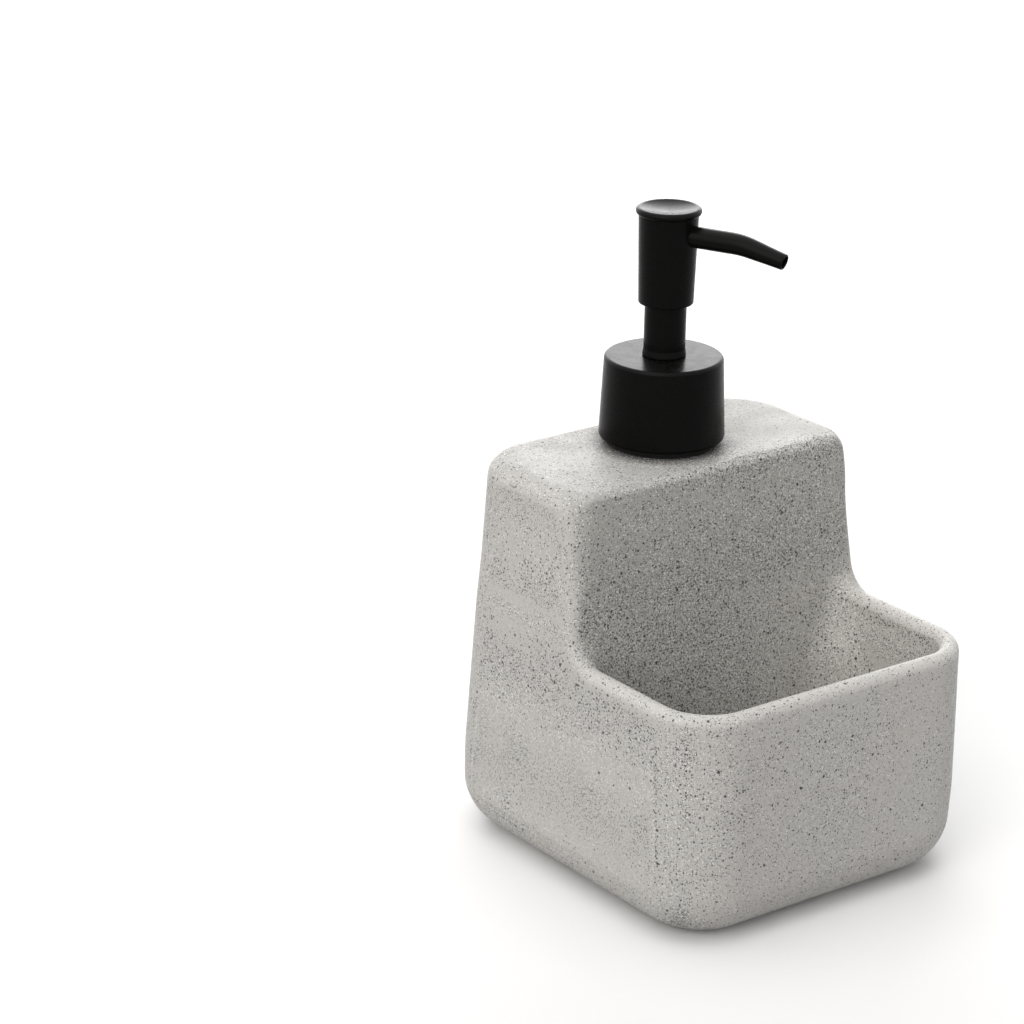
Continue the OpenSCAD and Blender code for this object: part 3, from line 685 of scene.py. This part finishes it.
class Nodes:
    """Short way to build a node material."""

    def __init__(self, name):
        self.material = bpy.data.materials.new(name)
        self.material.use_nodes = True
        self.tree = self.material.node_tree
        self.shader = self.tree.nodes["Principled BSDF"]
        self.place = self.add("ShaderNodeTexCoord").outputs["Object"]

    def add(self, kind, **settings):
        node = self.tree.nodes.new(kind)
        for key, value in settings.items():
            setattr(node, key, value)
        return node

    def link(self, source, target):
        if isinstance(source, (int, float)):
            target.default_value = source
        elif isinstance(source, (tuple, list)):
            target.default_value = (*source, 1)[: len(target.default_value)]
        else:
            self.tree.links.new(source, target)

    def math(self, operation, a, b=0.0):
        node = self.add("ShaderNodeMath", operation=operation)
        self.link(a, node.inputs[0])
        self.link(b, node.inputs[1])
        return node.outputs[0]

    def times(self, first, *others):
        for other in others:
            first = self.math("MULTIPLY", first, other)
        return first

    def plus(self, a, b):
        return self.math("ADD", a, b)

    def most(self, a, b):
        return self.math("MAXIMUM", a, b)

    def less(self, share):
        """What a share leaves of 1."""
        return self.math("SUBTRACT", 1.0, share)

    def ramp(self, value, low, high, out_low=0.0, out_high=1.0):
        node = self.add("ShaderNodeMapRange", interpolation_type="SMOOTHSTEP")
        for socket, v in zip(node.inputs, (value, low, high, out_low, out_high)):
            self.link(v, socket)
        return node.outputs[0]

    def shifted(self, offset):
        """The place, moved by offset, so that two patterns of one kind differ."""
        shift = self.add("ShaderNodeVectorMath", operation="ADD")
        self.link(self.place, shift.inputs[0])
        shift.inputs[1].default_value = offset
        return shift.outputs[0]

    def noise(self, scale, detail=2.0, roughness=0.5, offset=None):
        node = self.add("ShaderNodeTexNoise")
        self.link(self.shifted(offset) if offset else self.place, node.inputs["Vector"])
        node.inputs["Scale"].default_value = scale
        node.inputs["Detail"].default_value = detail
        node.inputs["Roughness"].default_value = roughness
        return node.outputs["Fac"]

    def grains(self, cell, offset):
        """Distance in cells to the nearest grain, and a random value of that grain."""
        node = self.add("ShaderNodeTexVoronoi")
        self.link(self.shifted(offset), node.inputs["Vector"])
        node.inputs["Scale"].default_value = 1 / (cell * MM)
        split = self.add("ShaderNodeSeparateColor")
        self.link(node.outputs["Color"], split.inputs[0])
        return node.outputs["Distance"], split.outputs[0]

    def mix(self, share, a, b):
        node = self.add("ShaderNodeMix", data_type="RGBA")
        self.link(share, node.inputs[0])
        self.link(a, node.inputs[6])
        self.link(b, node.inputs[7])
        return node.outputs[2]

    def bump(self, height, strength, distance):
        node = self.add("ShaderNodeBump")
        node.inputs["Strength"].default_value = strength
        node.inputs["Distance"].default_value = distance
        self.link(height, node.inputs["Height"])
        self.link(node.outputs[0], self.shader.inputs["Normal"])

    def set(self, **values):
        for key, value in values.items():
            self.link(value, self.shader.inputs[key.replace("_", " ")])
        return self.material


# Zones of the stoneware, in metres. A pair runs from no effect to full effect
TRAY_FROM_FRONT, TRAY_FROM_TOWER, TRAY_FROM_SIDE = (-0.055, -0.049), (0.02, 0.01), (0.053, 0.05)
# The second pair is where the painted shade on the roof sets in
BELOW_ROOF, ROOF_SHADE_HEIGHT, NEAR_ROOF = (0.1205, 0.1185), (0.1185, 0.1205), (0.116, 0.12)
DENSE_FROM_ABOVE = (0.116, 0.062)
RIGHT_BELOW, RIGHT_FROM_LEFT = (0.095, 0.075), (-0.01, 0.03)
RIM_FROM_BELOW, RIM_FROM_ABOVE, RIM_FROM_TOWER = (0.0665, 0.0695), (0.0745, 0.0725), (-0.006, -0.014)
ROOF_RIGHT_HEIGHT, ROOF_RIGHT_FROM_LEFT, ROOF_RIGHT_FROM_FRONT = (0.117, 0.12), (-0.04, 0.02), (0.0, 0.012)
FRONT_WALL = (-0.046, -0.056)
COLLAR_SPECKS, COLLAR_FROM_BACK, COLLAR_SHADE = (0.027, 0.02), (0.022, 0.008), (0.0235, 0.0185)
EDGE_HEIGHT, EDGE_FROM_BACK, EDGE_FROM_LEFT = (0.113, 0.118), (0.006, 0.0), (-0.035, 0.0)
# Heights over which the painted shade on the tower's front sets in
TOWER_FRONT_SHADE_HEIGHT = (0.07, 0.09)

# Crowding of the specks: where they are usual or thin, at the collar and the tower's edge, and in the tray
# from high to low, with how much fewer they are low on its right
RIM_THIN, FRONT_THIN, THINNING, USUAL_CROWD = 0.6, 0.6, 0.6, 0.8
COLLAR_CROWD, EDGE_CROWD = 2.2, 1.3
DENSE_CROWD, RIGHT_FEWER = (0.2, 3.0), 0.85

# Kinds of speck: cell, smallest and largest radius in millimetres, share of the cells, offset of the
# pattern, cover, and colour
SPECKS = (
    (0.42, 0.11, 0.2, 0.34, (0.013, 0.021, 0.034), 0.9, (0.06, 0.06, 0.056)),
    (0.9, 0.18, 0.33, 0.26, (0.113, 0.071, 0.054), 0.92, (0.04, 0.04, 0.038)),
    (2.1, 0.26, 0.5, 0.17, (0.213, 0.171, 0.084), 0.9, (0.035, 0.034, 0.033)),
    (0.6, 0.13, 0.25, 0.3, (0.4, 0.3, 0.2), 0.75, (0.92, 0.91, 0.88)),
)
SPECK_EDGE, SPECK_SHUFFLE = 0.06, 37.0

# The glaze: its mottled tones, the warmer one, and the tones of the zones with their cover; those of the
# tower's front, roof and collar are painted shade
MOTTLE_DARK, MOTTLE_LIGHT = (0.51, 0.5, 0.476), (0.645, 0.631, 0.602)
WARM_COVER, WARM_TONE = 0.35, (0.61, 0.58, 0.555)
ZONE_TONES = (
    ("dense", 0.13, (0.42, 0.44, 0.395)),
    # Painted shade: the tower's front, in the shadow of the tray before it, drawn darker, in part for its
    # denser fine specks
    ("tower_front_shade", 0.75, (0.43, 0.43, 0.4)),
    ("rim", 0.4, (0.7, 0.68, 0.65)),
    # Painted shade: the roof's glaze drawn darker, to take down the light that falls on top
    ("roof", 0.8, (0.5, 0.49, 0.465)),
    ("collar_shade", 0.75, (0.12, 0.118, 0.112)),
)


def stoneware_zones(n):
    """Where the specks crowd or thin out and where the glaze is darker or lighter, in part painted shade: 0
    to 1, dense to 3.
    """
    split = n.add("ShaderNodeSeparateXYZ")
    n.link(n.place, split.inputs[0])
    x, y, z = split.outputs
    off_middle = n.math("ABSOLUTE", x)
    in_tray = n.times(
        n.ramp(y, *TRAY_FROM_FRONT), n.ramp(y, *TRAY_FROM_TOWER), n.ramp(off_middle, *TRAY_FROM_SIDE)
    )
    behind_axis = n.math("SUBTRACT", y, PUMP_Y * MM)
    away = n.math("SQRT", n.plus(n.times(x, x), n.times(behind_axis, behind_axis)))
    low_right = n.times(n.ramp(z, *RIGHT_BELOW), n.ramp(x, *RIGHT_FROM_LEFT))
    below_roof = n.ramp(z, *BELOW_ROOF)
    growing = n.ramp(z, *DENSE_FROM_ABOVE, *DENSE_CROWD)
    return {
        "dense": n.times(in_tray, below_roof, growing, n.less(n.times(low_right, RIGHT_FEWER))),
        "rim": n.times(n.ramp(z, *RIM_FROM_BELOW), n.ramp(z, *RIM_FROM_ABOVE), n.ramp(y, *RIM_FROM_TOWER)),
        "roof_right": n.times(
            n.ramp(z, *ROOF_RIGHT_HEIGHT), n.ramp(x, *ROOF_RIGHT_FROM_LEFT), n.ramp(y, *ROOF_RIGHT_FROM_FRONT)
        ),
        "front": n.ramp(y, *FRONT_WALL),
        "collar": n.times(n.ramp(away, *COLLAR_SPECKS), n.ramp(y, *COLLAR_FROM_BACK), n.ramp(z, *NEAR_ROOF)),
        "edge": n.times(n.ramp(z, *EDGE_HEIGHT), n.ramp(y, *EDGE_FROM_BACK), n.ramp(x, *EDGE_FROM_LEFT)),
        # Painted shade on the roof, which takes down the light on top
        "roof": n.ramp(z, *ROOF_SHADE_HEIGHT),
        # Painted shade on the tower's front from the tray before it, in part its denser fine specks
        "tower_front_shade": n.times(in_tray, below_roof, n.ramp(z, *TOWER_FRONT_SHADE_HEIGHT)),
        "collar_shade": n.times(n.ramp(away, *COLLAR_SHADE), n.ramp(z, *NEAR_ROOF)),
    }


def speck_crowd(n, zone):
    """How closely the specks stand: in clouds, thinner on the rim, roof and front, thick in the tray."""
    cloud_noise, patch_noise = n.noise(55, detail=3, roughness=0.6), n.noise(17, offset=(0.31, 0.12, 0.05))
    cloud = n.ramp(cloud_noise, 0.34, 0.66, out_low=0.25, out_high=1.1)
    patch = n.ramp(patch_noise, 0.42, 0.62, out_low=0.45, out_high=1.05)
    thin = n.most(n.times(zone["rim"], RIM_THIN), n.times(zone["front"], FRONT_THIN))
    thin = n.most(thin, zone["roof_right"])
    usual = n.times(n.plus(cloud, patch), n.less(n.times(thin, THINNING)), USUAL_CROWD)
    crowd = n.plus(usual, n.times(zone["dense"], n.less(zone["rim"])))
    return n.plus(crowd, n.most(n.times(zone["collar"], COLLAR_CROWD), n.times(zone["edge"], EDGE_CROWD)))


def specks(n, crowd, cell, small, large, share, offset):
    """1 in a speck, 0 outside: grains of their own sizes, fewer where the crowd is thin."""
    distance, chance = n.grains(cell, offset)
    chosen = n.math("LESS_THAN", chance, n.times(crowd, share))
    own = n.math("FRACT", n.times(chance, SPECK_SHUFFLE))
    size = n.plus(n.times(own, (large - small) / cell), small / cell)
    return n.times(n.ramp(n.math("SUBTRACT", size, distance), -SPECK_EDGE, SPECK_EDGE), chosen)


def stoneware_tone(n, zone):
    """The glaze between the specks: mottled, warmer in places, and darker or lighter by zone, with painted
    shade on the tower's front, on the roof and round the collar.
    """
    mottle = n.ramp(n.noise(1900, roughness=0.6), 0.35, 0.65)
    warm = n.ramp(n.noise(30, offset=(0.7, 0.2, 0.9)), 0.35, 0.65)
    tone = n.mix(n.times(warm, WARM_COVER), n.mix(mottle, MOTTLE_DARK, MOTTLE_LIGHT), WARM_TONE)
    for name, cover, zone_tone in ZONE_TONES:
        tone = n.mix(n.times(zone[name], cover), tone, zone_tone)
    return tone


def stoneware_material():
    """Matte light grey glaze with small dark specks in uneven clusters, and a few white ones."""
    n = Nodes("stoneware")
    zone = stoneware_zones(n)
    crowd = speck_crowd(n, zone)
    colour = stoneware_tone(n, zone)
    for *kind, cover, speck_colour in SPECKS:
        colour = n.mix(n.times(specks(n, crowd, *kind), cover), colour, speck_colour)
    waves, grit, grit_share = n.noise(260, detail=3, roughness=0.55), n.noise(900), 0.3
    n.bump(n.plus(waves, n.times(grit, grit_share)), strength=0.1, distance=0.0003)
    roughness = n.ramp(n.noise(120), 0.3, 0.7, out_low=0.5, out_high=0.6)
    return n.set(Base_Color=colour, Roughness=roughness, Specular_IOR_Level=0.16)


def black_metal_material():
    """Satin black coating on turned metal."""
    n = Nodes("black_metal")
    grain = n.noise(1500, roughness=0.6)
    n.bump(grain, strength=0.05, distance=0.00005)
    tone = n.mix(grain, (0.0025, 0.0024, 0.0023), (0.005, 0.0048, 0.0046))
    roughness = n.ramp(n.noise(300, detail=3, roughness=0.6), 0.3, 0.7, out_low=0.25, out_high=0.31)
    return n.set(Base_Color=tone, Roughness=roughness, Specular_IOR_Level=0.04)


def plastic_material(name, dark, light, smooth, rough, **extra):
    """Moulded plastic or rubber, with a faint change of tone and gloss."""
    n = Nodes(name)
    tone = n.mix(n.noise(140), dark, light)
    n.bump(n.noise(2200, roughness=0.6), strength=0.04, distance=0.00005)
    return n.set(Base_Color=tone, Roughness=n.ramp(n.noise(400), 0.3, 0.7, smooth, rough), **extra)


def steel_material():
    """Bright drawn wire and polished steel."""
    n = Nodes("bright_steel")
    grain = n.noise(2600, detail=3, roughness=0.6)
    tone = n.mix(grain, (0.52, 0.52, 0.53), (0.66, 0.66, 0.67))
    roughness = n.ramp(grain, 0.3, 0.7, out_low=0.2, out_high=0.3)
    return n.set(Base_Color=tone, Metallic=1.0, Roughness=roughness)


MILKY, PALE = (0.78, 0.78, 0.75), (0.86, 0.86, 0.84)
TRANSLUCENT = {"Subsurface_Weight": 0.25, "Subsurface_Scale": 0.004}
MATERIALS = {
    "stoneware": stoneware_material(),
    "black_metal": black_metal_material(),
    "black_plastic": plastic_material(
        "black_plastic", [0.006] * 3, [0.011] * 3, smooth=0.38, rough=0.46, Specular_IOR_Level=0.1
    ),
    "natural_plastic": plastic_material(
        "natural_plastic", MILKY, PALE, smooth=0.34, rough=0.44, **TRANSLUCENT
    ),
    "gasket_rubber": plastic_material(
        "gasket_rubber", [0.01] * 3, [0.017] * 3, smooth=0.62, rough=0.75, Specular_IOR_Level=0.1
    ),
    "bright_steel": steel_material(),
}


def dress(obj, material):
    """The material, in every slot that the object has."""
    obj.data.materials.clear()
    obj.data.materials.append(material)
    for s in obj.material_slots:
        s.material = material


def piece(obj, body, slot, *nodes):
    """Gives a built piece its material, its body and the CAD nodes that it stands for."""
    dress(obj, MATERIALS[slot])
    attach(obj, body)
    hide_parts(*nodes)
    return obj


piece(build_stoneware(), "caddy", "stoneware", "ceramic_body")
piece(build_insert(), "caddy", "black_plastic", "neck_insert")
piece(build_flange_gasket(), "caddy", "gasket_rubber", "insert_gasket")
piece(build_rim_gasket(), "pump", "gasket_rubber", "neck_gasket")
piece(build_collar(), "closure", "black_metal", "collar_sleeve")
piece(build_neck(), "pump", "black_metal", "neck_sleeve")
piece(build_head_shell(), "head", "black_metal", "head_shell")
piece(build_cap(), "head", "black_metal", "head_cap")
piece(build_spout(), "head", "black_metal", "spout")
piece(build_barrel(), "pump", "natural_plastic", "pump_housing")
piece(build_dip_tube(), "pump", "natural_plastic", "dip_tube")
piece(build_ball(), "ball", "bright_steel", "inlet_ball")
SPRING = piece(build_spring(), "pump", "bright_steel", "return_spring")
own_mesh(SPRING)

# Inner pieces that keep their CAD shape
CARRIED = {
    "closure_nut": "black_plastic",
    "head_core": "black_plastic",
    "stem_guide": "natural_plastic",
    "ball_retainer": "natural_plastic",
    "lower_stem": "natural_plastic",
    "piston": "natural_plastic",
    "stem": "natural_plastic",
}
for node_name, slot_name in CARRIED.items():
    dress(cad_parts[node_name], MATERIALS[slot_name])


# Floor, light and camera


def build_floor():
    """A wide, plain floor: white to the camera and in reflections, greyer where it sends light back."""
    half, cells, drop = 6000.0, 24, 0.02
    line = [-half + 2 * half * i / cells for i in range(cells + 1)]
    points = [(x, y, -drop) for y in line for x in line]
    w = cells + 1
    corners = [j * w + i for j in range(cells) for i in range(cells)]
    floor = mesh_from("floor", points, [[c, c + 1, c + w + 1, c + w] for c in corners])
    m = Nodes("floor")
    tone = m.mix(m.noise(3), [0.50] * 3, [0.52] * 3)
    path = m.add("ShaderNodeLightPath").outputs
    seen = m.most(path["Is Camera Ray"], path["Is Glossy Ray"])
    dress(floor, m.set(Base_Color=m.mix(seen, tone, [1.0] * 3), Roughness=0.9, Specular_IOR_Level=0.1))


def place_lamp(name, data, towards_light):
    """A lamp turned so that its light comes from the direction given."""
    lamp = bpy.data.objects.new(name, data)
    bpy.context.scene.collection.objects.link(lamp)
    lamp.rotation_euler = (-towards_light).to_track_quat("-Z", "Y").to_euler()
    return lamp


def area_light(name, place, target, size, power):
    data = bpy.data.lights.new(name, "AREA")
    data.shape = "RECTANGLE"
    data.size, data.size_y = size
    data.energy = power
    lamp = place_lamp(name, data, Vector(place) - Vector(target))
    lamp.location = place


def sun_light(name, azimuth, elevation, angle, strength, colour=(1.0, 1.0, 1.0)):
    """A soft distant light. Azimuth 0 comes from the front and -90 from the left."""
    data = bpy.data.lights.new(name, "SUN")
    data.angle = math.radians(angle)
    data.energy = strength
    data.color = colour
    a, e = math.radians(azimuth), math.radians(elevation)
    place_lamp(name, data, Vector((math.sin(a) * math.cos(e), -math.cos(a) * math.cos(e), math.sin(e))))


def build_world(fill, seen):
    """Pale surroundings: white to the camera and in reflections, dimmer as fill light."""
    world = bpy.data.worlds.new("studio")
    bpy.context.scene.world = world
    world.use_nodes = True
    tree = world.node_tree
    tree.nodes.clear()
    path = tree.nodes.new("ShaderNodeLightPath")
    seen_or_mirrored = tree.nodes.new("ShaderNodeMath")
    any_ray = tree.nodes.new("ShaderNodeMath")
    seen_or_mirrored.operation = any_ray.operation = "MAXIMUM"
    dim, bright = tree.nodes.new("ShaderNodeBackground"), tree.nodes.new("ShaderNodeBackground")
    mix, out = tree.nodes.new("ShaderNodeMixShader"), tree.nodes.new("ShaderNodeOutputWorld")
    for background, strength in ((dim, fill), (bright, seen)):
        background.inputs["Color"].default_value = (1, 1, 1, 1)
        background.inputs["Strength"].default_value = strength
    tree.links.new(path.outputs["Is Camera Ray"], seen_or_mirrored.inputs[0])
    tree.links.new(path.outputs["Is Glossy Ray"], seen_or_mirrored.inputs[1])
    tree.links.new(seen_or_mirrored.outputs[0], any_ray.inputs[0])
    tree.links.new(path.outputs["Is Transmission Ray"], any_ray.inputs[1])
    tree.links.new(any_ray.outputs[0], mix.inputs[0])
    tree.links.new(dim.outputs[0], mix.inputs[1])
    tree.links.new(bright.outputs[0], mix.inputs[2])
    tree.links.new(mix.outputs[0], out.inputs[0])


# The photo's camera, worked out from the outlines of the body and the pump: degrees, metres and pixels
CAMERA_AZIMUTH, CAMERA_ELEVATION, CAMERA_ROLL = 34.68, 19.82, 0.23
CAMERA_PLACE = (-0.6379, -0.7383, 0.4699)
FOCAL_PIXELS, PICTURE_PIXELS, SENSOR_MM = 3516.94, 1024, 36
CAMERA_SHIFT = 0.14845, -0.0459


def build_camera():
    az, el, roll = (math.radians(a) for a in (CAMERA_AZIMUTH, CAMERA_ELEVATION, CAMERA_ROLL))
    back = Vector((-math.sin(az) * math.cos(el), -math.cos(az) * math.cos(el), math.sin(el)))
    flat_right = Vector((math.cos(az), -math.sin(az), 0))
    flat_up = back.cross(flat_right)
    right = math.cos(roll) * flat_right + math.sin(roll) * flat_up
    up = -math.sin(roll) * flat_right + math.cos(roll) * flat_up
    data = bpy.data.cameras.new("camera")
    data.sensor_width = SENSOR_MM
    data.lens = FOCAL_PIXELS / PICTURE_PIXELS * SENSOR_MM
    data.shift_x, data.shift_y = CAMERA_SHIFT
    camera = bpy.data.objects.new("camera", data)
    bpy.context.scene.collection.objects.link(camera)
    turn = Matrix((right, up, back)).transposed().to_4x4()
    camera.matrix_world = Matrix.Translation(CAMERA_PLACE) @ turn
    bpy.context.scene.camera = camera


build_floor()
build_world(fill=0.33, seen=2.8)
sun_light("overhead", azimuth=-140, elevation=83, angle=60, strength=1.25)
sun_light("left", azimuth=-65, elevation=32, angle=50, strength=1.25, colour=(1.0, 0.965, 0.945))
area_light("behind", place=(0.95, 1.35, 0.75), target=(0, 0, 0.15), size=(1.3, 0.7), power=12.0)
build_camera()
bpy.context.scene.view_settings.view_transform = "Standard"
